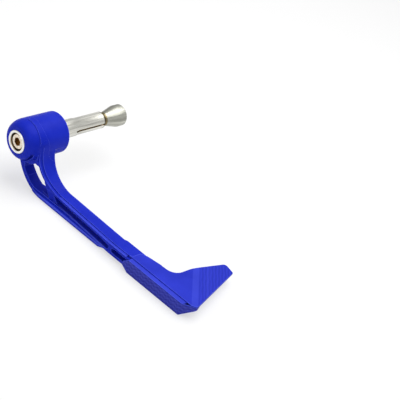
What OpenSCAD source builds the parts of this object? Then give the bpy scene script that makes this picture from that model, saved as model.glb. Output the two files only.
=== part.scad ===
// Brake lever guard for the end of a 22 mm handlebar
// A moulded truss arm drops from a round hub and carries a clip-on end cover with a short wing.
// A long bolt through the hub pulls a cone nut into a split sleeve, which grips inside the bar.
// X runs along the bar axis, away from the rider's hand towards the bar, and Z points up.
// The origin is on the bar axis, at the hub face that the bar end butts against.

/* [Hub] */
// Radius of the hub
hub_r = 16; // [14:0.5:20]
// Length of the hub along the bar axis
hub_len = 37.5; // [32:0.5:44]
// Radius of the flat front face of the hub
hub_nose_r = 11; // [10:0.5:12.5]
// Length of the domed nose of the hub
hub_nose_len = 10; // [6:0.5:12]
// Radius of the rounding on the edge of the hub's inner rim
hub_rim_round = 0.8; // [0.3:0.1:1.5]

/* [Arm] */
// Reach from the bar axis to the outer corner of the end cover
reach = 175; // [150:1:200]
// Distance from the hub's inner face to the inner edge of the band, at the hub
arm_setback = 14.8; // [12:0.2:17]
// Distance from the hub's inner face to the outer edge of the band, along the straight part
band_back = 20.5; // [19:0.1:22]
// Sideways lean of the band's inner edge and of the bottom flange, in mm for each mm of reach
arm_lean = 0.06; // [0:0.01:0.12]
// Amount by which the band spreads outwards where it leaves the hub
band_spread = 4.6; // [0:0.2:6]
// Reach at which that spread ends
spread_end = 42; // [36:1:48]
// Amount by which the band is narrower at the end of the inner ledge
band_taper = 1.8; // [0:0.1:3]
// Reach at which the band starts to narrow
taper_start = 45; // [40:1:60]
// Height of the raised band over the ledges beside it
band_rise = 0.9; // [0.5:0.1:1.5]
// Width of the ledge on the inner side of the band
ledge_w = 1.3; // [0.8:0.1:2]
// Width of the ledge on the outer side of the band
outer_ledge_w = 2.2; // [1.5:0.1:2.8]
// Depth of the web's recess behind the edge of the inner ledge
web_recess = 0.7; // [0.3:0.1:0.8]
// Distance from the hub's inner face to the outer edge of the strap over the hub
strap_back = 28.5; // [27:0.5:30]
// Width of the strap over the hub
strap_w = 5; // [4:0.5:7]
// Height of the strap over the hub
strap_rise = 0.6; // [0.3:0.1:1]
// Depth of the arm's top below the bar axis
top_drop = 26.8; // [22:0.5:32]
// Height of the slender part of the arm
arm_h = 10.7; // [9:0.5:14]
// Amount by which the arm is shallower past the second window
tail_rise = 1.6; // [0:0.1:2]
// Radius of the sweep from the hub down to the slender part
sweep_r = 26; // [20:1:30]
// Radius of the curve of the strut under the hub
belly_r = 35; // [30:1:40]
// Width of the strut under the hub
belly_w = 9; // [7:0.5:13]
// Height of the strut and of the straight strip under the windows
belly_t = 3.6; // [3:0.1:4.5]
// Distance from the hub's inner face to the outer edge of the bottom lip, at the hub
lip_back = 28.8; // [27:0.1:30]
// Height of the bottom lip
lip_h = 2.4; // [1.8:0.1:3]
// Reach at which the bottom lip starts
lip_start = 17; // [15:0.5:20]
// Distance from the bottom lip's end to the second window's end
lip_gap = 9; // [5:0.5:14]
// Thickness of the top flange
top_flange_t = 2.8; // [2.4:0.1:3.6]
// Distance from the second window's end to the end of the inner ledge
ledge_gap = 2; // [0:0.5:6]

/* [Windows] */
// Width of the diagonal rib between the first two windows
rib_w = 5.2; // [4:0.1:6]
// Slope of the diagonal rib
rib_angle = 55; // [48:1:60]
// Reach of the rib's foot at the bottom of the first window
rib_foot = 31.8; // [28:0.2:36]
// Radius of the first window's roof about the bar axis
window_roof_r = 19; // [18:0.1:21]
// Thickness of the sweep beside the first window
sweep_t = 2.4; // [2:0.1:3.4]
// Length of the tail, from the second window's end to the outer corner
tail_len = 78; // [72:1:84]
// Height of the second window at its far end
window_end_h = 3.6; // [2.6:0.1:4]
// Length of the bridge between the second and the third window
bridge = 3; // [2:0.5:4]
// Height of the third window
slot_h = 3.7; // [3.4:0.1:4]
// Thickness of the arm below the third window
slot_floor = 2.3; // [1.5:0.1:2.6]
// Thickness of the arm's end past the third window
slot_wall = 2; // [1.5:0.5:4]

/* [End cover] */
// Length of the end cover, from its front to the outer corner
cover_len = 61; // [55:1:67]
// Width of the cover's side wall outside the arm
cover_wall = 1.5; // [1.4:0.1:3]
// Depth of the cover's side wall below the arm's bottom
cover_skirt = 2.1; // [1:0.1:3]
// Thickness of the cover's top plate
plate_t = 1.8; // [1.6:0.1:2.2]
// Height by which the cover's top plate stands over the arm's band
plate_proud = 0.35; // [0.2:0.05:0.6]
// Length of the wing from the outer corner to its tip
wing_len = 60; // [50:1:70]
// Thickness of the wing
wing_t = 3.2; // [2.5:0.1:4.5]
// Width of the wing at its tip
wing_tip_w = 9; // [6:0.5:12]
// Angle between the wing's outer edge and the bar axis
wing_rake = 14; // [6:0.5:18]
// Fall of the wing's face below the cover's top, in mm for each mm past its crease
wing_fall = 0.08; // [0:0.01:0.2]
// Width of the strip between the wing's two folds
fold_w = 7.5; // [5:0.5:10]
// Radius of the fillet between the arm and the wing
wing_fillet = 9; // [6:1:14]
// Play between the cover and the arm
cover_play = 0.1; // [0.05:0.05:0.3]

/* [Cover screws] */
// Distance from the cover's front to the first cover screw
screw_back = 4; // [3:0.5:7]
// Distance between the two cover screws
screw_pitch = 20; // [18:1:24]
// Radius of the screw's thread
screw_r = 1.1; // [1:0.1:1.2]
// Radius of the screw's head
screw_head_r = 2.6; // [2.3:0.1:2.8]
// Height of the screw's head
screw_head_h = 2; // [1.5:0.1:2.5]
// Length of the screw's thread
screw_len = 8; // [6:0.5:9]
// Depth of the screw head's seat in the arm's inner side
screw_seat = 3; // [2.5:0.1:3.5]

/* [Expander] */
// Radius of the clamp bolt's shank
bolt_r = 4; // [3:0.5:4]
// Radius of the clamp bolt's head
bolt_head_r = 6.1; // [5.5:0.1:6.4]
// Height of the clamp bolt's head
bolt_head_h = 8; // [6:0.5:9]
// Width across the flats of the hexagon socket
bolt_hex = 6; // [5:1:6]
// Depth of the clamp bolt's head below the front of the bush
head_seat = 1.2; // [0:0.1:2]
// Outer radius of the steel bush
bush_r = 8.8; // [8.4:0.1:9.8]
// Radius of the flange on the steel bush
bush_flange_r = 13; // [12:0.5:14]
// Thickness of the flange on the steel bush
bush_flange_t = 1.6; // [1:0.2:2.5]
// Depth of the bush's flange inside the hub's rim
rim_recess = 0.5; // [0:0.1:1]
// Depth of the socket in the bush that holds the sleeve's neck
neck_seat = 3; // [2:0.5:5]
// Radius of the sleeve's solid neck
neck_r = 7.1; // [6.8:0.1:7.5]
// Length of the sleeve's solid neck
neck_len = 17.5; // [12:0.5:22]
// Radius of the sleeve's split part
split_r = 6.7; // [6.2:0.1:6.8]
// Whole length of the sleeve
sleeve_len = 45.5; // [40:0.5:52]
// Width of the slits
slit_w = 1; // [0.6:0.1:1.4]
// Turn of the slits about the bar axis
slit_turn = 20; // [0:5:90]
// Radius of the cone nut at its wide end
cone_r = 8.7; // [7.6:0.1:8.8]
// Radius of the cone nut at its narrow end
cone_nose_r = 5.2; // [5:0.1:5.6]
// Whole length of the cone nut
cone_len = 20; // [16:0.5:24]
// Length of the cone nut's straight end
cone_land = 7; // [5:0.5:9]
// Gap between the sleeve and the cone nut
cone_gap = 1.8; // [1:0.1:3]
// Clearance of each turned piece round the bolt and in the hub
fit_play = 0.15; // [0.1:0.05:0.3]

/* [Hidden] */
blue = [0.1, 0.13, 0.78];
cover_blue = [0.13, 0.17, 0.7];
steel = [0.78, 0.78, 0.76];
zinc = [0.82, 0.76, 0.62];
black = [0.08, 0.08, 0.09];
round_fn = 96;
arc_steps = 14;
eps = 0.01;
top_z = -top_drop;
bottom_z = top_z - arm_h;
tail_z = bottom_z + tail_rise;
far = reach + 40;
cover_start = reach - cover_len;
window_end = reach - tail_len;
lip_end = window_end - lip_gap;
// Reach at which the inner ledge ends and the arm's inner side fills out
ledge_end = window_end + ledge_gap;
// Reach at which the band's outer edge starts to lean like its inner edge
lean_start = window_end + 1;

function turn(o, r, a) = o + r * [cos(a), sin(a)];
function unit(v) = v / norm(v);

// Points of an arc of a circle
function arc(o, r, a0, a1, n = arc_steps) = [for (i = [0:n]) turn(o, r, a0 + (a1 - a0) * i / n)];

// Points of the fillet at corner b of the path a, b, c
function fillet(a, b, c, r, n = 6) =
    let (u = unit(a - b), v = unit(c - b), half = acos(u * v) / 2, d = r / tan(half),
         o = b + unit(u + v) * r / sin(half), s = b + u * d, e = b + v * d,
         a0 = atan2(s.y - o.y, s.x - o.x), a1 = atan2(e.y - o.y, e.x - o.x),
         da = (a1 - a0 + 900) % 360 - 180)
    arc(o, r, a0, a0 + da, n);

// A polygon whose corners are rounded, each by its own radius
function rounded(p, r) = [for (i = [0:len(p) - 1])
    each r[i] > 0 ? fillet(p[(i + len(p) - 1) % len(p)], p[i], p[(i + 1) % len(p)], r[i]) : [p[i]]];

// Sideways place of the band's two edges at a given reach
function band_out(s) = -band_back + arm_lean * max(0, s - lean_start);
function band_in(s) = -arm_setback + arm_lean * s
    - band_taper * min(1, max(0, (s - taper_start) / (ledge_end - taper_start)));
// Sideways place of the arm's two side faces
function side_in(s) = band_in(s) + ledge_w;
function side_out(s) = band_out(s) - outer_ledge_w;
function lip_out(s) = -lip_back + arm_lean * s;

// Outline in side view, as points of [reach, height] with reach growing away from the hub
strap_r = hub_r + strap_rise;
sweep_at = strap_r + sweep_r;
sweep_z = top_z + sweep_r;
function top_line(d, s_end) = concat(
    arc([0, 0], strap_r - d, 100, 0),
    [[strap_r - d, min(0, sweep_z)]],
    arc([sweep_at, sweep_z], sweep_r + d, 180, 270),
    [[s_end, top_z - d]]);
belly_at = 27;
belly_z = bottom_z + belly_r;
function bottom_line(d, s_end) = concat(
    arc([belly_at, belly_z], belly_r - d, 200, 270),
    [[s_end, bottom_z + d]]);
function reversed(p) = [for (i = [len(p) - 1:-1:0]) p[i]];

// A side-view outline made solid across the whole width of the arm
module across(points) {
    rotate([90, 0, 90]) translate([0, 0, -hub_len - 20])
        linear_extrude(hub_len + 60) polygon([for (p = points) [-p.x, p.y]]);
}

// A plan outline made solid over the whole height of the arm
module upright(points, z0 = bottom_z - 20, z1 = hub_r + 10) {
    translate([0, 0, z0]) linear_extrude(z1 - z0) polygon([for (p = points) [p.x, -p.y]]);
}

// Edge in plan of the band's outer side, moved out by w, from the hub to a given reach
spread_start = strap_r - 0.2;
function spread_at(i) = spread_start + (spread_end - spread_start) * i / 8;
function outer_edge(w, s_end) = concat(
    [for (i = [0:8]) [band_out(0) - w - band_spread * (1 - sin(90 * i / 8)), spread_at(i)]],
    [[band_out(lean_start) - w, lean_start], [band_out(s_end) - w, s_end]]);
// Edge in plan of the band's inner side, moved in by w
function inner_edge(w, s_end) = [[band_in(taper_start) + w, taper_start],
    [band_in(ledge_end) + w, ledge_end], [band_in(s_end) + w, s_end]];
web_back = band_back + band_spread + outer_ledge_w;
module plan_strip(wide_in, wide_out, s_end) {
    upright(concat([[-web_back, -hub_r]], outer_edge(wide_out, s_end),
        reversed(inner_edge(wide_in, s_end)), [[band_in(-hub_r) + wide_in, -hub_r]]));
}

nose_z = [for (i = [0:6]) let (a = 90 * i / 6)
    [hub_nose_r + (hub_r - hub_nose_r) * sin(a), -hub_len + hub_nose_len * (1 - cos(a))]];
module hub_body() {
    rotate([0, 90, 0]) rotate_extrude($fn = round_fn)
        polygon(concat([[0, -hub_len]], nose_z,
            [[hub_r, -hub_rim_round], [hub_r - hub_rim_round, 0], [0, 0]]));
}

// Reach at which the moulded arm ends, inside the cover
arm_end = reach - 24;

module arm_web() {
    intersection() {
        across(concat(top_line(band_rise, arm_end), reversed(bottom_line(0, arm_end))));
        plan_strip(ledge_w - web_recess, outer_ledge_w, arm_end);
    }
}

module arm_ledges() {
    intersection() {
        across(concat(top_line(band_rise, arm_end), reversed(top_line(top_flange_t, arm_end))));
        plan_strip(ledge_w, outer_ledge_w, arm_end);
    }
}

// The raised band, narrower where it runs over the hub as a strap
strap_end = strap_r + 2;
strap_turn = band_in(strap_end) + strap_back - strap_w;
module arm_band() {
    intersection() {
        across(concat(top_line(0, arm_end), reversed(top_line(top_flange_t, arm_end))));
        upright(concat([[-strap_back, -hub_r], [-strap_back, spread_start - 1]], outer_edge(0, arm_end),
            reversed(inner_edge(0, arm_end)),
            arc([band_in(strap_end), strap_end - strap_turn], strap_turn, 90, 180, 8),
            [[strap_w - strap_back, -hub_r]]));
    }
}

// Strip under the windows, with the lip that stands out along its foot
module arm_foot() {
    intersection() {
        across(concat(bottom_line(0, lip_end + 4), reversed(bottom_line(lip_h, lip_end + 4))));
        upright(concat([[-web_back, -hub_r], [-web_back, lip_start - 1], [lip_out(lip_start), lip_start]],
            rounded([[lip_out(lip_end - 6), lip_end - 6], [lip_out(lip_end), lip_end],
                [side_out(lip_end + 4), lip_end + 4]], [0, 4, 0]),
            [[side_in(lip_end + 4) - web_recess, lip_end + 4], [side_in(lip_end), lip_end],
             [side_in(taper_start), taper_start], [side_in(-hub_r), -hub_r]]));
    }
    intersection() {
        across(concat(bottom_line(0, lip_end), reversed(bottom_line(belly_t, lip_end))));
        upright([[-web_back, -hub_r], [lip_out(lip_start) + lip_h, lip_start],
                 [lip_out(lip_end) + lip_h, lip_end], [side_in(lip_end) - web_recess, lip_end],
                 [side_in(-hub_r) - web_recess, -hub_r]]);
    }
}

// The strut under the hub is narrower than the arm above it
module belly_relief() {
    intersection() {
        across(concat(arc([0, 0], hub_r - 3, -125, -60, 8), [[rib_foot, floor_z + 8],
            [rib_foot, bottom_z - 1], [-hub_r - 10, bottom_z - 1]]));
        upright([[belly_w - web_back, -hub_r - 10], [belly_w - web_back, lip_start],
                 [side_in(rib_foot), rib_foot - 2], [0, rib_foot - 2], [0, -hub_r - 10]]);
    }
}

// The arm's inner side fills out past the end of its ledge
module arm_tail() {
    intersection() {
        across([[ledge_end, top_z], [arm_end, top_z], [arm_end, tail_z], [ledge_end, tail_z]]);
        upright([[band_in(ledge_end), ledge_end], [side_in(ledge_end + 3), ledge_end + 3],
                 [side_in(arm_end), arm_end], [band_in(arm_end) - 1, arm_end],
                 [band_in(ledge_end) - 1, ledge_end]]);
    }
}

rib_dir = [cos(rib_angle), -sin(rib_angle)];
rib_side = [sin(rib_angle), cos(rib_angle)];
floor_z = bottom_z + belly_t;
// Point at height z on the rib's left edge, moved across the rib by w
function rib_at(z, w) = [rib_foot + w / sin(rib_angle) - (z - floor_z) / tan(rib_angle), z];
sweep_o = [sweep_at, sweep_z];
rib_root_z = sweep_z - (sweep_r + sweep_t) * sin(54);
module window_1() {
    across(rounded(concat(
        arc([0, 0], window_roof_r, -82, -46, 7),
        arc(sweep_o, sweep_r + sweep_t, 207, 230, 5),
        [rib_at(rib_root_z, 0), rib_at(floor_z, 0), [belly_at + 1, floor_z]],
        arc([belly_at, belly_z], belly_r - belly_t, 270, 221, 8)),
        concat([for (i = [0:6]) 0], [0.7, 0.7], [for (i = [0:4]) 0], [0, 0.8, 0], [for (i = [0:8]) 0])));
}

module window_2() {
    across(rounded([rib_at(top_z - 2, rib_w), rib_at(floor_z, rib_w + 1.4), [window_end, floor_z],
        [window_end, floor_z + window_end_h], [window_end - 10, top_z - top_flange_t],
        [sweep_at + 1, top_z - top_flange_t]],
        [0.4, 2, window_end_h / 2 - 0.05, window_end_h / 2 - 0.05, 0, 6]));
}

slot_start = window_end + bridge;
slot_end = arm_end - slot_wall;
slot_z = tail_z + slot_floor + slot_h / 2;
module window_3() {
    end_r = slot_h / 2 - 0.05;
    across(rounded([[slot_start, slot_z - slot_h / 2], [slot_end, slot_z - slot_h / 2],
        [slot_end, slot_z + slot_h / 2], [slot_start, slot_z + slot_h / 2]],
        [end_r, end_r, end_r, end_r]));
}

// The tail is shallower than the rest of the arm
module tail_relief() {
    across([[lip_end, bottom_z - 1], [far, bottom_z - 1], [far, tail_z],
        [lip_end + 5, tail_z], [lip_end, bottom_z]]);
}

// Height of the cover's top and of the ledge beside it
cover_z = top_z + plate_proud;
strip_z = cover_z - band_rise;
plate_z = cover_z - plate_t;
skirt_z = tail_z - cover_skirt;
function wall_in(s) = side_out(s) - cover_play;
function wall_out(s) = wall_in(s) - cover_wall;

// Corners of the cover in plan, as points of [sideways, reach]
corner_s = reach + 2;
corner_x = band_out(reach) + 2.5;
tip_x = band_out(reach) + wing_len;
tip_out = [tip_x, corner_s - (tip_x - corner_x) * tan(wing_rake)];
tip_in = [tip_x - 4, tip_out.y - wing_tip_w];
wing_root = [side_in(arm_end), arm_end - 4.5];
// Edge of the cover's top plate on the arm, moved out by a gap on all its sides
function seat_edge(gap) = [
    [band_in(cover_start + 20) + 0.1 + gap, cover_start + 20],
    [band_in(cover_start) - 0.7 + gap, cover_start + 6.5],
    [band_in(cover_start) - 2.6 + gap, cover_start + 3.2 - gap],
    [band_out(cover_start) + 1.6 + gap, cover_start + 2.8 - gap],
    [band_out(cover_start) + gap, cover_start - gap]];
seat_rounds = [4, 4, 1.2, 0.6, 0];
plate_outline = rounded(
    concat([[band_out(reach - 1), reach - 1], [corner_x, corner_s], tip_out, tip_in,
            [wing_root.x + 13, wing_root.y], wing_root], seat_edge(0)),
    concat([3, 2.5, 0.8, 3, 20, wing_fillet], seat_rounds));

// Folds of the wing: its face falls at half the slope past the first, and at the full slope
// past the second
fold_out = [corner_x, corner_s - 10.5];
fold_in = [corner_x + 26, corner_s - 28.5];
fold_angle = atan2(fold_out.y - fold_in.y, fold_in.x - fold_out.x);
fold_z = cover_z - fold_w * wing_fall / 2;
module wing_sheet() {
    translate([fold_out.x, -fold_out.y, 0]) rotate([0, 0, fold_angle - 180])
        rotate([90, 0, 90]) translate([0, 0, -150]) linear_extrude(300)
            polygon([[-150, cover_z], [0, cover_z], [fold_w, fold_z],
                [far, fold_z - (far - fold_w) * wing_fall],
                [far, fold_z - (far - fold_w) * wing_fall - wing_t],
                [fold_w, fold_z - wing_t], [0, plate_z], [-150, plate_z]]);
}

module cover_top() {
    intersection() {
        upright(plate_outline);
        wing_sheet();
    }
}

// The wall down the outer side, round the corner and a little way along the wing
module cover_wall_shape() {
    intersection() {
        difference() {
            upright(rounded([[wall_out(cover_start - 4), cover_start - 4],
                [wall_out(reach - 6), reach - 6], [corner_x, corner_s],
                [corner_x + 12, corner_s - 12 * tan(wing_rake)],
                [corner_x + 6, corner_s - 22], [band_out(cover_start) + 2, cover_start - 4]],
                [0, 4, 2.5, 0, 0, 0]), skirt_z, strip_z);
            upright(rounded([[wall_in(cover_start - 6), cover_start - 6],
                [wall_in(reach - 6), reach - 7], [corner_x + 0.6, corner_s - cover_wall - 1],
                [corner_x + 40, corner_s - cover_wall - 1 - 40 * tan(wing_rake)],
                [corner_x + 40, cover_start - 6]],
                [0, 3, 2, 0, 0]), skirt_z - 1, plate_z);
        }
        across([[cover_start + 6.5, strip_z], [cover_start - 0.8, strip_z - 5],
            [cover_start - 0.6, strip_z - 7.2], [cover_start + 5.4, skirt_z],
            [reach - 6.5, skirt_z], [corner_s + 1, plate_z - 1], [corner_s + 1, strip_z]]);
    }
}

// Bosses for the cover screws, reaching into the arm's third window
boss_r = slot_h / 2 - cover_play;
screw_s = [for (i = [0, 1]) cover_start + screw_back + screw_pitch * i];
module at_screw(i) {
    translate([0, -screw_s[i], slot_z]) rotate([0, 90, 0]) children();
}
module screw_boss(i) {
    x0 = wall_in(screw_s[i]);
    x1 = side_in(screw_s[i]) - screw_seat - cover_play;
    at_screw(i) translate([0, 0, x0 - 0.6]) cylinder(r = boss_r, h = x1 - x0 + 0.6, $fn = 32);
}
module screw_hole(i) {
    at_screw(i) translate([0, 0, side_in(screw_s[i]) - screw_seat - screw_len - 1])
        cylinder(r = screw_r + 0.05, h = screw_len + 2, $fn = 32);
}

module end_cover() {
    color(cover_blue) difference() {
        union() {
            cover_top();
            cover_wall_shape();
            screw_boss(0);
            screw_boss(1);
        }
        screw_hole(0);
        screw_hole(1);
    }
}

// Black button screws that hold the cover from the arm's inner side
module cover_screw(i) {
    seat = side_in(screw_s[i]) - screw_seat;
    color(black) at_screw(i) difference() {
        union() {
            translate([0, 0, seat - screw_len]) cylinder(r = screw_r, h = screw_len + eps, $fn = 32);
            translate([0, 0, seat]) rotate_extrude($fn = 48)
                polygon([[0, 0], [screw_head_r, 0], [screw_head_r, screw_head_h * 0.4],
                    [screw_head_r * 0.85, screw_head_h * 0.8], [screw_head_r * 0.55, screw_head_h],
                    [0, screw_head_h]]);
        }
        translate([0, 0, seat + screw_head_h - 1.2]) cylinder(r = 1, h = 2, $fn = 6);
    }
}

// Space in the arm for the screw heads and for the cover's top plate
module screw_seats() {
    for (i = [0, 1]) at_screw(i) translate([0, 0, side_in(screw_s[i]) - screw_seat])
        cylinder(r = screw_head_r + 0.2, h = 6, $fn = 48);
}
module plate_seat() {
    upright(concat([[band_out(cover_start) - 6, reach], [wing_root.x + 4, reach],
        [wing_root.x + 4, wing_root.y + 1.5]], rounded(concat([[wing_root.x + 4, wing_root.y]],
        seat_edge(cover_play)), concat([0], seat_rounds)),
        [[band_out(cover_start) - 6, cover_start - cover_play]]), plate_z - cover_play, cover_z + 1);
}

// Steel bush through the hub, with a flange for the bar end and a seat for the bolt's head
module round_x(points, fn = round_fn) {
    rotate([0, 90, 0]) rotate_extrude($fn = fn) polygon(points);
}
module bush_bore() {
    round_x([[0, -hub_len - 1], [bush_r + fit_play, -hub_len - 1],
        [bush_r + fit_play, -bush_flange_t - rim_recess - fit_play],
        [bush_flange_r + fit_play, -bush_flange_t - rim_recess - fit_play],
        [bush_flange_r + fit_play, 1], [0, 1]]);
}
bush_front = -hub_len - 0.6;
head_back = bush_front + head_seat + bolt_head_h;
module hub_bush() {
    flange_back = -rim_recess - bush_flange_t;
    socket_r = neck_r + fit_play;
    bore_r = bolt_r + fit_play;
    head_bore_r = bolt_head_r + 0.7;
    color(steel) round_x([[bore_r, head_back], [head_bore_r, head_back], [head_bore_r, bush_front + 0.4],
        [head_bore_r + 0.4, bush_front], [bush_r - 0.4, bush_front], [bush_r, bush_front + 0.4],
        [bush_r, flange_back], [bush_flange_r, flange_back],
        [bush_flange_r, -rim_recess - 0.3], [bush_flange_r - 0.3, -rim_recess], [socket_r, -rim_recess],
        [socket_r, sleeve_start], [bore_r, sleeve_start]]);
}

// Long socket bolt from the hub's nose to the cone nut
bolt_tip = sleeve_len + cone_gap + cone_len - 3;
module clamp_bolt() {
    head_front = head_back - bolt_head_h;
    color(zinc) difference() {
        round_x([[0, bolt_tip], [bolt_r - 0.8, bolt_tip], [bolt_r, bolt_tip - 0.8], [bolt_r, head_back],
            [bolt_head_r, head_back], [bolt_head_r, head_front + 0.7], [bolt_head_r - 0.7, head_front],
            [0, head_front]]);
        rotate([0, 90, 0]) translate([0, 0, head_front - 1])
            cylinder(r = bolt_hex / 2 / cos(30), h = 5, $fn = 6);
    }
}

// Sleeve with a solid neck and a split part
sleeve_start = -rim_recess - neck_seat;
seat_r = cone_nose_r;
module expander_sleeve() {
    bore_r = bolt_r + fit_play;
    color(steel) difference() {
        round_x([[bore_r, sleeve_start], [neck_r, sleeve_start], [neck_r, neck_len - 0.6],
            [split_r, neck_len], [split_r, sleeve_len - 0.5], [split_r - 0.5, sleeve_len],
            [seat_r, sleeve_len], [bore_r, sleeve_len - 4]]);
        rotate([slit_turn, 0, 0]) translate([neck_len + 2.5, -split_r - 1, -slit_w / 2])
            cube([sleeve_len, 2 * split_r + 2, slit_w]);
    }
}

// Cone nut at the end of the bolt
cone_start = sleeve_len + cone_gap;
module expander_cone() {
    bore_r = bolt_r + 0.05;
    cone_end = cone_start + cone_len;
    color(steel) round_x([[bore_r, cone_start], [cone_nose_r - 0.3, cone_start], [cone_nose_r, cone_start + 0.5],
        [cone_r, cone_end - cone_land], [cone_r, cone_end - 0.8], [cone_r - 0.8, cone_end],
        [bore_r + 0.6, cone_end], [bore_r, cone_end - 0.6]]);
}

module arm() {
    color(blue) difference() {
        union() {
            hub_body();
            arm_ledges();
            arm_band();
            arm_tail();
            difference() {
                union() {
                    arm_web();
                    arm_foot();
                }
                belly_relief();
            }
        }
        window_1();
        window_2();
        window_3();
        tail_relief();
        plate_seat();
        screw_seats();
        bush_bore();
    }
}

arm();
end_cover();
hub_bush();
clamp_bolt();
expander_sleeve();
expander_cone();
cover_screw(0);  // cover_screw_1
cover_screw(1);  // cover_screw_2
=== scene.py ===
"""Brake lever guard: looks of the moulded arm, its end cover and the bar-end expander."""
import math

import bmesh
import bpy
from mathutils import Matrix, Vector


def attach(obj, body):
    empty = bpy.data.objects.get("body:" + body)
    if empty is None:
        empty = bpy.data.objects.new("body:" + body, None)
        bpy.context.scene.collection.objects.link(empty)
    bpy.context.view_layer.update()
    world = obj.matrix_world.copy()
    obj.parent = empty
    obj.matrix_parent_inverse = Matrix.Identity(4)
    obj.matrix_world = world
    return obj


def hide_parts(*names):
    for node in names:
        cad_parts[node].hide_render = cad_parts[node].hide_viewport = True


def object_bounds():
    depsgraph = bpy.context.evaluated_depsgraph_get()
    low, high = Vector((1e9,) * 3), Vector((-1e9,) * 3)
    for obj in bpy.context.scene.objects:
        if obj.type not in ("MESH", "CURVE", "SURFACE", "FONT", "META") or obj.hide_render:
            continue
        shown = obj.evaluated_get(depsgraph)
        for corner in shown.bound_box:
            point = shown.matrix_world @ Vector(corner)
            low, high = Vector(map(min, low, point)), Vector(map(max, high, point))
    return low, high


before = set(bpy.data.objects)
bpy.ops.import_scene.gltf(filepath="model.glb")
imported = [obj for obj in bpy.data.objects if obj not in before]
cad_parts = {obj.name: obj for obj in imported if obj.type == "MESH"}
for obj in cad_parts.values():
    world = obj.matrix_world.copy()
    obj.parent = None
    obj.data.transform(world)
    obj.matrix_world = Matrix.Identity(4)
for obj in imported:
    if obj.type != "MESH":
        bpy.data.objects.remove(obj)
cad_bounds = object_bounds()

# Sizes of the pieces are in millimetres. Across is x, reach is the distance along -y, up is z
MM = 0.001

# Blues of the moulded pieces, each with a deep and a bright end, and the one blue of the painted highlights
# on their ledges
ARM_DEEP = (0.006, 0.017, 0.41)
ARM_BRIGHT = (0.014, 0.029, 0.52)
COVER_DEEP = (0.013, 0.025, 0.42)
COVER_BRIGHT = (0.022, 0.037, 0.53)
WEAVE_DEEP = (0.020, 0.025, 0.29)
WEAVE_BRIGHT = (0.058, 0.070, 0.48)
STRIPE_DEEP = (0.016, 0.027, 0.39)
STRIPE_BRIGHT = (0.026, 0.040, 0.52)
# Blues of the painted highlights on the softened outer edges
EDGE_HIGHLIGHT_DEEP = (0.045, 0.070, 0.62)
EDGE_HIGHLIGHT_BRIGHT = (0.070, 0.100, 0.72)
HIGHLIGHT_BLUE = (0.060, 0.085, 0.66)

# The bolt's gold tone with painted shade on the metals: the ring between sleeve and cone nut, and the
# inside of the bolt
SLEEVE_GOLD_AND_SHADE = (0.10, 0.08, 0.035)
CONE_GOLD_AND_SHADE = (0.20, 0.15, 0.06)
SOCKET_GOLD_AND_SHADE = (0.34, 0.20, 0.05)

# Width of the softened edges
ARM_EDGE = 0.25
COVER_EDGE = 0.3
METAL_EDGE = 0.12
SCREW_EDGE = 0.08
# Corners closer than this are one, and faces flatter than this angle are merged
WELD = 0.002
FLAT_ANGLE = math.radians(0.4)
# Edges sharper than this are kept out of the smooth shading
SHARP_ANGLE = math.radians(35)
ARC_STEPS = 8

# Sideways lean of the arm's foot lip and of the cover's wall for each mm of reach
LEAN = 0.06

# Painted highlights: ledges by height, and lip and foot across and up, these two along the straight of the
# arm
ARM_LEDGE_UP = (-27.85, -27.6)
COVER_LEDGE_UP = (-27.45, -27.25)
LIP_ACROSS = (-29.2, -28.1)
LIP_UP = (-36.2, -34.8)
FOOT_ACROSS = (-23.0, -22.3)
FOOT_UP = (-35.0, -33.6)
STRAIGHT = (-90.0, -24.0)

# Pattern of the cover: rows and threads of the weave, and stripes across the wing, with their sway
WEAVE_ROW = 3.0
WEAVE_THREAD = 2.7
WEAVE_SWAY = 5.4
STRIPE_PITCH = 2.5
STRIPE_SWAY = 9.0
STRIPE_SIDE = (0.68, -0.73)

# Nose of the hub: a dome from a flat face to the barrel, and its bend, where 1 leaves it as it is built
NOSE_FACE = -37.5
NOSE_LENGTH = 10.0
FACE_R = 11.0
HUB_R = 16.0
NOSE_BEND = 1.15
# Its points lie between these places along the bar, and this near to the dome
DOME_START = NOSE_FACE + 0.05
DOME_END = NOSE_FACE + NOSE_LENGTH - 0.1
DOME_NEAR = 0.1
# Groove under the nose, with a rounded end at its start. Its angles are taken from straight down
GROOVE_NEAR = -34.5
GROOVE_FAR = -32.1
GROOVE_FLOOR = (13.3, 14.4)
GROOVE_OPEN = 18.0
GROOVE_START = math.radians(-73)
GROOVE_TURN = math.radians(50)
GROOVE_STEPS = 12
GROOVE_END_DEPTH = 4.2
GROOVE_END_MIDDLE = 15.95
GROOVE_END_SIDES = 24

# Seat of the cover on the arm, cut out to the edge of the finer cover plate
SEAT = [(-12.0, -117.15), (-10.6, -117.3), (-7.8, -121.4), (-5.3, -132.0), (-3.5, -153.0), (-15.0, -153.0),
        (-15.0, -117.15)]
SEAT_FLOOR = -28.35
SEAT_TOP = -25.0

# Slits of the sleeve, and the turn that brings them from where they are built to where they are seen
SLIT_TURN = math.radians(-23)
SLIT_BUILT = math.radians(20)
SLIT_WIDTH = 1.5
SLIT_START = 15.0
# The blade that cuts them ends past the sleeve, and goes this far to each side
BLADE_END = 60.0
BLADE_REACH = 9.0

# Top of the end cover, from its outer corner round the wing, as corners of (across, reach, radius)
PLATE = [(-15.9, 174.0, 3), (-13.4, 177.9, 2.5), (42.3, 163.4, 0.8), (43.7, 154.1, 3), (12.0, 146.7, 20),
         (-4.3, 145.6, 9), (-5.6, 132.0, 12), (-8.0, 121.5, 5), (-10.8, 117.6, 1.2), (-17.9, 116.8, 0.6),
         (-19.54, 114.0, 0)]
PLATE_TOP = -26.45
PLATE_T = 1.8
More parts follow.
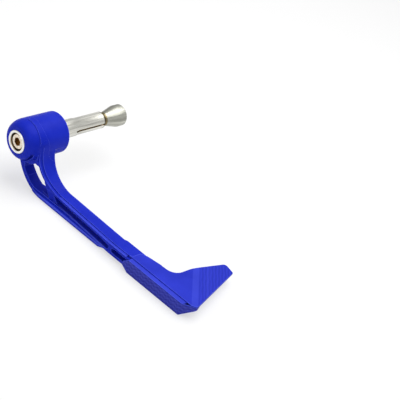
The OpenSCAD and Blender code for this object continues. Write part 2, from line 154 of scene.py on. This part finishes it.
# Line where the top folds into the wing, width of the fold, and the fall of fold and wing for each mm
FOLD_SIDE = Vector((0.671, -0.741, 0.0)).normalized()
FOLD_AT = FOLD_SIDE.dot(Vector((-13.4, -172.4, 0.0)))
FOLD_WIDTH = 4.4
FOLD_FALL = 0.05
WING_FALL = 0.10

# Side wall of the cover, as corners of its outside and of the room inside it
WALL_FOOT = -38.0
WALL_LEDGE = -27.35
WALL_ROOF = -28.25
WALL_PLACE = -30.18
WALL_OUTSIDE = [(WALL_PLACE + LEAN * 110, 110, 0), (WALL_PLACE + LEAN * 169, 169, 4), (-13.4, 177.9, 2.5),
                (-1.4, 174.8, 0), (-7.4, 155.9, 0), (-17.5, 110, 0)]
WALL_INSIDE = [(-22.2, 108, 0), (-18.54, 168, 3), (-12.8, 175.4, 2), (26.6, 165, 0), (26.6, 108, 0)]
# Cutters go this far past its faces, and these ranges across and along hold the whole cover
CLEAR = 0.01
ALL_ACROSS = (-60, 60)
ALL_ALONG = (-200, 0)
# The wall seen from the side as (reach, up) and from its end as (across, up)
WALL_SIDE = [(118, WALL_LEDGE + CLEAR), (113.5, -31.45), (113.4, -34.5), (119.4, WALL_FOOT - CLEAR),
             (169, WALL_FOOT - CLEAR), (178.9, -29.25), (178.9, WALL_LEDGE + CLEAR)]
WALL_END = [(-30, WALL_LEDGE + CLEAR), (-30, WALL_FOOT - CLEAR), (-18.4, WALL_FOOT - CLEAR),
            (-9.0, -28.65), (0.6, -28.65), (0.6, WALL_LEDGE + CLEAR)]

# Screw bosses inside the wall, rooted a little way into it
SCREW_REACH = 118.0
SCREW_PITCH = 20.0
SCREW_HEIGHT = -31.75
BOSS_R = 1.75
BOSS_ROOT = 0.4
BOSS_TIP = -11.4
BORE_R = 1.15
BORE_END = -19.9
BOSS_SIDES = 32
WALL_T = 1.44

# Floor, air, lamps and camera, in metres and watts. A lamp has a name, place, aim, size and power
FLOOR_SIZE = 3.0
FLOOR_GAP = 0.0003
FLOOR_GREY = (0.86, 0.86, 0.86)
FLOOR_GLOW = 0.62
AIR_LIGHT = 0.36
AIR_SHINE = 0.24
LAMPS = [("top_light", (0.24, -0.16, 0.87), (0, -0.08, -0.02), (0.95, 0.95), 10.2),
         ("back_light", (0.70, 0.55, 0.62), (0, -0.05, -0.02), (0.6, 0.5), 0.4),
         ("side_light", (-0.75, 0.10, 0.40), (0, -0.05, -0.02), (0.6, 0.5), 1.0)]
EYE_PLACE = (-0.45882, -0.42894, 0.39006)
EYE_TURN = (0.96214, -0.29334, -0.81234)
LENS = 86.914


# Materials

class Finish:
    """A material under construction, with short calls for its nodes."""

    def __init__(self, name):
        self.material = bpy.data.materials.new(name)
        self.material.use_nodes = True
        self.tree = self.material.node_tree
        self.shader = self.tree.nodes["Principled BSDF"]
        self.place = self.add("ShaderNodeTexCoord").outputs["Object"]

    def add(self, kind, **settings):
        node = self.tree.nodes.new(kind)
        for key, value in settings.items():
            setattr(node, key, value)
        return node

    def feed(self, socket, value):
        """Links a node's output to an input, or sets the input to a number or a colour."""
        if isinstance(value, bpy.types.NodeSocket):
            self.tree.links.new(value, socket)
        elif isinstance(value, tuple):
            socket.default_value = (*value, 1)
        else:
            socket.default_value = value

    def shade(self, **values):
        """Feeds inputs of the shader, whose names have _ for each space."""
        for key, value in values.items():
            self.feed(self.shader.inputs[key.replace("_", " ")], value)

    def millimetres(self):
        """The place on the piece as across, along and up, in millimetres."""
        node = self.add("ShaderNodeSeparateXYZ")
        self.feed(node.inputs[0], self.place)
        return [self.product(output, 1 / MM) for output in node.outputs]

    def joined(self, a, b):
        node = self.add("ShaderNodeCombineXYZ")
        self.feed(node.inputs[0], a)
        self.feed(node.inputs[1], b)
        return node.outputs[0]

    def noise(self, scale, detail, place=None):
        node = self.add("ShaderNodeTexNoise")
        self.feed(node.inputs["Scale"], scale)
        self.feed(node.inputs["Detail"], detail)
        self.feed(node.inputs["Vector"], place or self.place)
        return node.outputs["Fac"]

    def math(self, operation, a, b=0.0):
        node = self.add("ShaderNodeMath", operation=operation)
        self.feed(node.inputs[0], a)
        self.feed(node.inputs[1], b)
        return node.outputs["Value"]

    def product(self, a, b):
        return self.math("MULTIPLY", a, b)

    def total(self, a, b):
        return self.math("ADD", a, b)

    def larger(self, a, b):
        return self.math("MAXIMUM", a, b)

    def spread(self, source, low, high, start=0.3, stop=0.7):
        """Runs from low to high while the source goes from start to stop."""
        node = self.add("ShaderNodeMapRange")
        for key, value in (("From Min", start), ("From Max", stop), ("To Min", low), ("To Max", high)):
            self.feed(node.inputs[key], value)
        self.feed(node.inputs["Value"], source)
        return node.outputs["Result"]

    def between(self, source, low, high, soft):
        """1 where the source lies between low and high, 0 elsewhere."""
        return self.product(self.spread(source, 0.0, 1.0, low - soft, low),
                            self.spread(source, 1.0, 0.0, high, high + soft))

    def ripple(self, source, period, shift=0.0, gain=1.0):
        """A sine along the source, its phase moved by shift."""
        phase = self.total(self.product(source, math.tau / period), shift)
        return self.product(self.math("SINE", phase), gain)

    def tint(self, factor, dark, light):
        mix = self.add("ShaderNodeMix", data_type="RGBA")
        ends = [socket for socket in mix.inputs if socket.type == "RGBA"]
        self.feed(mix.inputs["Factor"], factor)
        self.feed(ends[0], dark)
        self.feed(ends[1], light)
        return [socket for socket in mix.outputs if socket.type == "RGBA"][0]

    def relief(self, height, distance, strength):
        bump = self.add("ShaderNodeBump")
        self.feed(bump.inputs["Distance"], distance * MM)
        self.feed(bump.inputs["Strength"], strength)
        self.feed(bump.inputs["Height"], height)
        self.shade(Normal=bump.outputs["Normal"])


def moulded(name, deep, bright):
    """Satin moulded plastic with a fine grain and slow flow marks, and its base colour."""
    finish = Finish(name)
    grain = finish.noise(2200, 3)
    flow = finish.noise(45, 4)
    finish.relief(grain, distance=0.03, strength=0.3)
    finish.shade(Roughness=finish.spread(flow, 0.36, 0.48), IOR=1.47, Specular_IOR_Level=0.06)
    return finish, finish.tint(finish.spread(flow, 0.0, 1.0), deep, bright)


def edge_highlight_blue():
    """The paler blue of the softened outer edges, which paints a highlight on them."""
    finish, base = moulded("edge_highlight_blue", EDGE_HIGHLIGHT_DEEP, EDGE_HIGHLIGHT_BRIGHT)
    finish.shade(Base_Color=base)
    return finish.material


def arm_blue():
    """The arm's blue, with painted highlights on the ledges beside its band and along the lip and foot."""
    finish, base = moulded("arm_plastic", ARM_DEEP, ARM_BRIGHT)
    across, along, up = finish.millimetres()
    ledge = finish.between(up, *ARM_LEDGE_UP, soft=0.05)
    lip_side = finish.total(across, finish.product(along, LEAN))
    lip = finish.product(finish.between(lip_side, *LIP_ACROSS, soft=0.15),
                         finish.between(up, *LIP_UP, soft=0.1))
    foot = finish.product(finish.between(across, *FOOT_ACROSS, soft=0.15),
                          finish.between(up, *FOOT_UP, soft=0.1))
    straight = finish.between(along, *STRAIGHT, soft=6.0)
    # Painted highlight: ledge, lip and foot are lightened towards the highlight blue
    lip_and_foot_highlight = finish.product(finish.larger(lip, foot), straight)
    painted_highlight = finish.larger(finish.product(ledge, 0.5), lip_and_foot_highlight)
    finish.shade(Base_Color=finish.tint(painted_highlight, base, HIGHLIGHT_BLUE))
    return finish.material


def cover_blue():
    """The cover's blue, with a woven look on the side wall, stripes on the wing past its fold, and painted
    highlights on its ledge and fold.
    """
    finish, base = moulded("cover_plastic", COVER_DEEP, COVER_BRIGHT)
    across, along, up = finish.millimetres()

    past = finish.total(finish.product(across, FOLD_SIDE.x), finish.product(along, FOLD_SIDE.y))
    fold = finish.between(past, FOLD_AT, FOLD_AT + FOLD_WIDTH, soft=0.5)
    ledge = finish.between(up, *COVER_LEDGE_UP, soft=0.05)
    # Painted highlight: the ledge and the fold of the top are lightened towards the highlight blue
    top = finish.tint(finish.product(finish.larger(ledge, fold), 0.3), base, HIGHLIGHT_BLUE)

    slant = finish.total(finish.product(across, STRIPE_SIDE[0]), finish.product(along, STRIPE_SIDE[1]))
    stripes = finish.ripple(slant, STRIPE_PITCH, finish.ripple(across, STRIPE_SWAY, gain=0.5))
    wing = finish.tint(finish.spread(stripes, 0.0, 1.0, -1.0, 1.0), STRIPE_DEEP, STRIPE_BRIGHT)
    on_wing = finish.spread(past, 0.0, 0.7, FOLD_AT + 3.5, FOLD_AT + 6.5)

    rows = finish.ripple(up, WEAVE_ROW, finish.ripple(along, WEAVE_SWAY, gain=1.2))
    threads = finish.ripple(along, WEAVE_THREAD, finish.product(up, 0.9))
    weave = finish.total(finish.product(rows, 0.55), finish.product(finish.product(rows, threads), 0.45))
    wall = finish.tint(finish.spread(weave, 0.0, 1.0, -1.0, 1.0), WEAVE_DEEP, WEAVE_BRIGHT)
    on_wall = finish.product(finish.spread(up, 1.0, 0.0, -28.0, -27.5),
                             finish.spread(across, 1.0, 0.0, -9.0, -7.0))

    finish.shade(Base_Color=finish.tint(on_wall, finish.tint(on_wing, top, wing), wall))
    return finish.material


def turned_metal(name, dark, light, roughness, bands=5.0, gold_and_shade=None, faced=False):
    """Turned metal with painted reflection bands and fine streaks along the bar axis, one length of it
    in the bolt's gold with painted shade. A faced piece has turned rings round the axis instead."""
    finish = Finish(name)
    across, along, up = finish.millimetres()
    turn = finish.math("ARCTAN2", up, along)
    if faced:
        square = finish.total(finish.product(along, along), finish.product(up, up))
        turn = finish.product(finish.math("SQRT", square), 0.16)
    # Bands round the bar stand for painted reflections; on a faced piece they are turned rings
    reflection_or_ring_band = finish.noise(bands, 1, finish.joined(turn, finish.product(across, 0.004)))
    streak = finish.noise(1.0, 3, finish.joined(finish.product(turn, 30.0), finish.product(across, 0.09)))
    mottle = finish.noise(1400, 2)
    fine = finish.total(finish.product(streak, 0.25), finish.product(mottle, 0.15))
    marks = finish.total(finish.product(reflection_or_ring_band, 0.6), fine)
    metal = finish.tint(finish.spread(marks, 0.0, 1.0, 0.38, 0.62), dark, light)
    # One length takes the bolt's gold, darkened as painted shade
    if gold_and_shade:
        start, stop, colour = gold_and_shade
        ring = finish.between(across, start, stop, soft=0.3)
        metal = finish.tint(finish.product(ring, 0.85), metal, colour)
    finish.relief(mottle, distance=0.004, strength=0.25)
    finish.shade(Base_Color=metal, Roughness=finish.spread(streak, *roughness), Metallic=1.0)
    return finish.material


def faced_steel():
    """The bush's steel, with rings on its faces."""
    return turned_metal("faced_steel", (0.60, 0.59, 0.56), (0.90, 0.89, 0.86), (0.22, 0.34), faced=True)


def yellow_zinc():
    """The bolt's pale zinc, with a darker gold behind its face, as in its socket: its gold tone and painted
    shade.
    """
    return turned_metal("zinc_bolt", (0.66, 0.56, 0.44), (0.88, 0.80, 0.68), (0.24, 0.36),
                        gold_and_shade=(-36.55, 70.0, SOCKET_GOLD_AND_SHADE))


def plated_steel():
    """The sleeve's steel, with the bolt's gold in painted shade next to the cone nut."""
    return turned_metal("steel", (0.52, 0.515, 0.465), (0.84, 0.835, 0.775), (0.26, 0.40),
                        gold_and_shade=(44.3, 45.6, SLEEVE_GOLD_AND_SHADE))


def polished_steel():
    """The cone nut's steel, with few broad painted reflection bands, and the bolt's gold in painted shade
    next to the sleeve.
    """
    return turned_metal("cone_steel", (0.22, 0.22, 0.19), (0.54, 0.54, 0.48), (0.32, 0.40), bands=2.0,
                        gold_and_shade=(47.2, 48.5, CONE_GOLD_AND_SHADE))


def black_steel():
    """Blacked steel with a cloudy sheen."""
    finish = Finish("black_steel")
    cloud = finish.noise(500, 3)
    colour = finish.tint(cloud, (0.012, 0.012, 0.013), (0.03, 0.03, 0.033))
    finish.shade(Base_Color=colour, Roughness=finish.spread(cloud, 0.32, 0.48), Metallic=0.6)
    return finish.material


# Shapes

def settled(shape, name):
    """An object in the scene with the shape as its mesh."""
    mesh = bpy.data.meshes.new(name)
    shape.to_mesh(mesh)
    shape.free()
    piece = bpy.data.objects.new(name, mesh)
    bpy.context.scene.collection.objects.link(piece)
    return piece


def points_of(made):
    """The points among what an operator made."""
    return [part for part in made if isinstance(part, bmesh.types.BMVert)]


def prism(outline, axis, low, high):
    """A solid over a closed outline, drawn out along one axis from low to high."""
    at = "xyz".index(axis)
    way = Vector((0.0, 0.0, 0.0))
    way[at] = (high - low) * MM
    solid = bmesh.new()
    corners = [Vector((*point[:at], low, *point[at:])) * MM for point in outline]
    face = solid.faces.new([solid.verts.new(corner) for corner in corners])
    drawn = bmesh.ops.extrude_face_region(solid, geom=[face])["geom"]
    bmesh.ops.translate(solid, vec=way, verts=points_of(drawn))
    bmesh.ops.recalc_face_normals(solid, faces=solid.faces)
    return settled(solid, "prism")


def rod(radius, length, segments, place):
    """A round rod along its own z, moved and turned to its place."""
    shape = bmesh.new()
    bmesh.ops.create_cone(shape, cap_ends=True, segments=segments, radius1=radius * MM, radius2=radius * MM,
                          depth=length * MM)
    bmesh.ops.transform(shape, matrix=place, verts=shape.verts)
    return settled(shape, "rod")


def rounded(corners):
    """The outline round corners of (across, reach, radius), with an arc at each that has a radius."""
    path = []
    for number, (across, reach, radius) in enumerate(corners):
        corner = Vector((across, -reach))
        last = corners[number - 1]
        following = corners[(number + 1) % len(corners)]
        before = (Vector((last[0], -last[1])) - corner).normalized()
        after = (Vector((following[0], -following[1])) - corner).normalized()
        if not radius:
            path.append(corner)
            continue
        half = before.angle(after) / 2
        middle = corner + (before + after).normalized() * (radius / math.sin(half))
        start = corner + before * (radius / math.tan(half)) - middle
        stop = corner + after * (radius / math.tan(half)) - middle
        for step in range(ARC_STEPS + 1):
            path.append(middle + start.slerp(stop, step / ARC_STEPS).normalized() * radius)
    return path


def in_order(shape):
    """Puts a shape's points, edges and faces in one fixed order, so that each run gives the same piece."""
    def place(point):
        return tuple(round(value, 7) for value in point)

    for parts, key in ((shape.verts, lambda vert: place(vert.co)),
                       (shape.edges, lambda edge: sorted(place(vert.co) for vert in edge.verts)),
                       (shape.faces, lambda face: place(face.calc_center_median()))):
        for number, part in enumerate(sorted(parts, key=key)):
            part.index = number
        parts.sort()


def carved(body, tool, operation="DIFFERENCE"):
    """The body after one solid operation with the tool, which is used up."""
    cut = body.modifiers.new("cut", "BOOLEAN")
    cut.operation = operation
    cut.solver = "EXACT"
    cut.object = tool
    bpy.context.view_layer.update()
    result = body.evaluated_get(bpy.context.evaluated_depsgraph_get())
    mesh = bpy.data.meshes.new_from_object(result)
    body.modifiers.clear()
    shape = bmesh.new()
    shape.from_mesh(mesh)
    in_order(shape)
    shape.to_mesh(mesh)
    shape.free()
    body.data = mesh
    bpy.data.objects.remove(tool)
    return body


def merged_copy(node, turn=0.0, reshape=None):
    """A copy of a CAD node with merged faces, turned about the bar axis where it is round."""
    shape = bmesh.new()
    shape.from_mesh(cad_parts[node].data)
    bmesh.ops.remove_doubles(shape, verts=shape.verts, dist=WELD * MM)
    bmesh.ops.rotate(shape, matrix=Matrix.Rotation(turn, 3, "X"), verts=shape.verts)
    if reshape:
        reshape(shape)
    return settled(shape, node + "_copy")


# Bodies that stand for CAD nodes

def reshaped_nose(shape):
    """Takes a little off the round dome of the hub's nose."""
    for vert in shape.verts:
        x, y, z = vert.co / MM
        if DOME_START < x < DOME_END:
            rise = math.sqrt(1 - (1 - (x - NOSE_FACE) / NOSE_LENGTH) ** 2)
            radius = math.hypot(y, z)
            if abs(radius - FACE_R - (HUB_R - FACE_R) * rise) < DOME_NEAR:
                size = (FACE_R + (HUB_R - FACE_R) * rise ** NOSE_BEND) / radius
                vert.co.y *= size
                vert.co.z *= size


def nose_groove(arm):
    """A shallow oblong groove round the underside of the nose, its end rounded."""
    section = [(GROOVE_NEAR, GROOVE_FLOOR[0]), (GROOVE_FAR, GROOVE_FLOOR[1]), (GROOVE_FAR, GROOVE_OPEN),
               (GROOVE_NEAR, GROOVE_OPEN)]
    tool = bmesh.new()
    ends = [tool.verts.new(Vector((x, 0, -radius)) * MM) for x, radius in section]
    bmesh.ops.rotate(tool, matrix=Matrix.Rotation(GROOVE_START, 3, "X"), verts=ends)
    last = [tool.faces.new(ends)]
    one_step = Matrix.Rotation(GROOVE_TURN / GROOVE_STEPS, 3, "X")
    for step in range(GROOVE_STEPS):
        drawn = bmesh.ops.extrude_face_region(tool, geom=last)["geom"]
        bmesh.ops.rotate(tool, matrix=one_step, verts=points_of(drawn))
        last = [part for part in drawn if isinstance(part, bmesh.types.BMFace)]
    bmesh.ops.recalc_face_normals(tool, faces=tool.faces)
    carved(arm, settled(tool, "groove"))
    middle = Vector(((GROOVE_NEAR + GROOVE_FAR) / 2, 0, -GROOVE_END_MIDDLE)) * MM
    place = Matrix.Rotation(GROOVE_START, 4, "X") @ Matrix.Translation(middle)
    return carved(arm, rod((GROOVE_FAR - GROOVE_NEAR) / 2, GROOVE_END_DEPTH, GROOVE_END_SIDES, place))


def arm_body():
    """The arm with its nose reshaped and grooved, and its seat widened for the finer cover."""
    arm = merged_copy("arm", reshape=reshaped_nose)
    return nose_groove(carved(arm, prism(SEAT, "z", SEAT_FLOOR, SEAT_TOP)))


def sleeve_body():
    """The sleeve turned on its bolt, its slits widened and drawn out towards the hub."""
    half = SLIT_WIDTH / 2
    blade = [(-BLADE_REACH, -half), (BLADE_REACH, -half), (BLADE_REACH, half), (-BLADE_REACH, half)]
    tool = prism(blade, "x", SLIT_START, BLADE_END)
    tool.rotation_euler.x = SLIT_BUILT + SLIT_TURN
    return carved(merged_copy("expander_sleeve", SLIT_TURN), tool)


def cover_plate():
    """The cover's top: flat on the arm, folded twice where it becomes the wing."""
    sheet = bmesh.new()
    sheet.faces.new([sheet.verts.new((x * MM, y * MM, 0)) for x, y in rounded(PLATE)])
    for step in (0.0, FOLD_WIDTH):
        bmesh.ops.bisect_plane(sheet, geom=sheet.verts[:] + sheet.edges[:] + sheet.faces[:], dist=1e-7,
                               plane_co=FOLD_SIDE * (FOLD_AT + step) * MM, plane_no=FOLD_SIDE)
    lower = bmesh.ops.extrude_face_region(sheet, geom=sheet.faces[:])["geom"]
    bmesh.ops.translate(sheet, vec=(0, 0, -PLATE_T * MM), verts=points_of(lower))
    for vert in sheet.verts:
        past = vert.co.dot(FOLD_SIDE) / MM - FOLD_AT
        fall = FOLD_FALL * max(0.0, min(past, FOLD_WIDTH)) + WING_FALL * max(0.0, past - FOLD_WIDTH)
        vert.co.z += (PLATE_TOP - fall) * MM
    bmesh.ops.recalc_face_normals(sheet, faces=sheet.faces)
    return settled(sheet, "cover_plate")


def cover_wall():
    """The wall down the outer side, which runs out along the wing's edge."""
    wall = prism(rounded(WALL_OUTSIDE), "z", WALL_FOOT, WALL_LEDGE)
    carved(wall, prism(rounded(WALL_INSIDE), "z", WALL_FOOT - 1, WALL_ROOF))
    carved(wall, prism([(-reach, up) for reach, up in WALL_SIDE], "x", *ALL_ACROSS), "INTERSECT")
    return carved(wall, prism(WALL_END, "y", *ALL_ALONG), "INTERSECT")


def screw_bosses(cover):
    """Bosses inside the wall and their bores, where the screws go."""
    for reach in (SCREW_REACH, SCREW_REACH + SCREW_PITCH):
        wall_inside = WALL_PLACE + WALL_T + LEAN * reach
        for radius, start, stop, operation in ((BOSS_R, wall_inside - BOSS_ROOT, BOSS_TIP, "UNION"),
                                               (BORE_R, BORE_END, 0, "DIFFERENCE")):
            middle = Vector(((start + stop) / 2, -reach, SCREW_HEIGHT)) * MM
            place = Matrix.Translation(middle) @ Matrix.Rotation(math.pi / 2, 4, "Y")
            carved(cover, rod(radius, stop - start, BOSS_SIDES, place), operation)
    return cover


def cover_body():
    return screw_bosses(carved(cover_wall(), cover_plate(), "UNION"))


# Finished pieces

def copied(node):
    """A plain copy of a CAD node."""
    piece = bpy.data.objects.new(node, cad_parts[node].data.copy())
    bpy.context.scene.collection.objects.link(piece)
    return piece


def smoothed(mesh, weigh_edges):
    """Merges the flat faces of a mesh and marks its sharp edges, and its outer ones for softening."""
    shape = bmesh.new()
    shape.from_mesh(mesh)
    bmesh.ops.remove_doubles(shape, verts=shape.verts, dist=WELD * MM)
    in_order(shape)
    bmesh.ops.dissolve_limit(shape, angle_limit=FLAT_ANGLE, use_dissolve_boundaries=False,
                             verts=shape.verts, edges=shape.edges, delimit=set())
    for face in shape.faces:
        face.smooth = True
        face.material_index = 0
    for line in shape.edges:
        line.smooth = len(line.link_faces) == 2 and line.calc_face_angle(0) < SHARP_ANGLE
    if weigh_edges:
        weight = shape.edges.layers.float.new("bevel_weight_edge")
        for line in shape.edges:
            line[weight] = 1.0 if line.is_convex and not line.smooth else 0.0
    shape.to_mesh(mesh)
    shape.free()


def dressed(node, material, edge, body=None, edge_highlight_material=None):
    """A copy of a CAD node, or the body that stands for it, with softened edges and smooth shading.
    With an edge highlight material only the outer edges are softened, and they take that material as a
    painted highlight."""
    piece = body or copied(node)
    piece.name = node + "_finished"
    smoothed(piece.data, weigh_edges=edge_highlight_material is not None)
    piece.data.materials.clear()
    piece.data.materials.append(material)
    bevel = piece.modifiers.new("soft_edges", "BEVEL")
    bevel.width = edge * MM
    bevel.segments = 2
    bevel.limit_method = "ANGLE"
    bevel.angle_limit = SHARP_ANGLE
    bevel.harden_normals = True
    bevel.miter_outer = "MITER_SHARP"
    if edge_highlight_material:
        piece.data.materials.append(edge_highlight_material)
        bevel.material = 1
        bevel.limit_method = "WEIGHT"
        bevel.use_clamp_overlap = False
    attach(piece, "root")
    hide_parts(node)


painted_edge_highlight = edge_highlight_blue()
dressed("arm", arm_blue(), ARM_EDGE, arm_body(), painted_edge_highlight)
dressed("end_cover", cover_blue(), COVER_EDGE, cover_body(), painted_edge_highlight)
dressed("hub_bush", faced_steel(), METAL_EDGE)
dressed("clamp_bolt", yellow_zinc(), METAL_EDGE)
dressed("expander_sleeve", plated_steel(), METAL_EDGE, sleeve_body())
dressed("expander_cone", polished_steel(), METAL_EDGE)
blacked = black_steel()
dressed("cover_screw_1", blacked, SCREW_EDGE)
dressed("cover_screw_2", blacked, SCREW_EDGE)


# Floor, light and camera

def pale_floor():
    """White paper just under the part, which keeps its shadow."""
    plate = bmesh.new()
    bmesh.ops.create_grid(plate, x_segments=1, y_segments=1, size=FLOOR_SIZE)
    bmesh.ops.translate(plate, verts=plate.verts, vec=(0, 0, cad_bounds[0][2] - FLOOR_GAP))
    floor = settled(plate, "floor")
    finish = Finish("floor_paper")
    finish.shade(Base_Color=FLOOR_GREY, Roughness=0.8)
    glow = finish.add("ShaderNodeEmission")
    finish.feed(glow.inputs["Color"], (1, 1, 1))
    path = finish.add("ShaderNodeLightPath")
    seen = finish.larger(path.outputs["Is Camera Ray"], finish.larger(
        path.outputs["Is Glossy Ray"], path.outputs["Is Transmission Ray"]))
    mix = finish.add("ShaderNodeMixShader")
    finish.feed(mix.inputs[0], finish.product(seen, FLOOR_GLOW))
    finish.feed(mix.inputs[1], finish.shader.outputs[0])
    finish.feed(mix.inputs[2], glow.outputs[0])
    finish.feed(finish.tree.nodes["Material Output"].inputs["Surface"], mix.outputs[0])
    floor.data.materials.append(finish.material)


def studio_air():
    """Even light from all round, brighter in reflections and white behind the part."""
    world = bpy.data.worlds.new("studio")
    bpy.context.scene.world = world
    world.use_nodes = True
    tree = world.node_tree
    path = tree.nodes.new("ShaderNodeLightPath")
    plain = tree.nodes["Background"]
    plain.inputs["Color"].default_value = (1, 1, 1, 1)
    shine = tree.nodes.new("ShaderNodeMath")
    shine.operation = "MULTIPLY_ADD"
    shine.inputs[1].default_value = AIR_SHINE
    shine.inputs[2].default_value = AIR_LIGHT
    tree.links.new(path.outputs["Is Glossy Ray"], shine.inputs[0])
    tree.links.new(shine.outputs[0], plain.inputs["Strength"])
    white = tree.nodes.new("ShaderNodeBackground")
    white.inputs["Color"].default_value = (1, 1, 1, 1)
    seen = tree.nodes.new("ShaderNodeMath")
    seen.operation = "MAXIMUM"
    tree.links.new(path.outputs["Is Camera Ray"], seen.inputs[0])
    tree.links.new(path.outputs["Is Transmission Ray"], seen.inputs[1])
    mix = tree.nodes.new("ShaderNodeMixShader")
    tree.links.new(seen.outputs[0], mix.inputs[0])
    tree.links.new(plain.outputs[0], mix.inputs[1])
    tree.links.new(white.outputs[0], mix.inputs[2])
    tree.links.new(mix.outputs[0], tree.nodes["World Output"].inputs["Surface"])


def soft_box(name, place, aim, size, power):
    """A rectangular lamp that faces its aim."""
    light = bpy.data.lights.new(name, "AREA")
    light.shape = "RECTANGLE"
    light.size = size[0]
    light.size_y = size[1]
    light.energy = power
    lamp = bpy.data.objects.new(name, light)
    lamp.location = place
    lamp.rotation_euler = (Vector(aim) - Vector(place)).to_track_quat("-Z", "Y").to_euler()
    bpy.context.scene.collection.objects.link(lamp)


def camera():
    """The camera, where the photograph was taken from."""
    lens = bpy.data.cameras.new("camera")
    lens.lens = LENS
    lens.sensor_width = 36.0
    lens.clip_start = 0.01
    eye = bpy.data.objects.new("camera", lens)
    eye.location = EYE_PLACE
    eye.rotation_euler = EYE_TURN
    bpy.context.scene.collection.objects.link(eye)
    bpy.context.scene.camera = eye


pale_floor()
studio_air()
for lamp in LAMPS:
    soft_box(*lamp)
camera()
bpy.context.scene.view_settings.view_transform = "Standard"
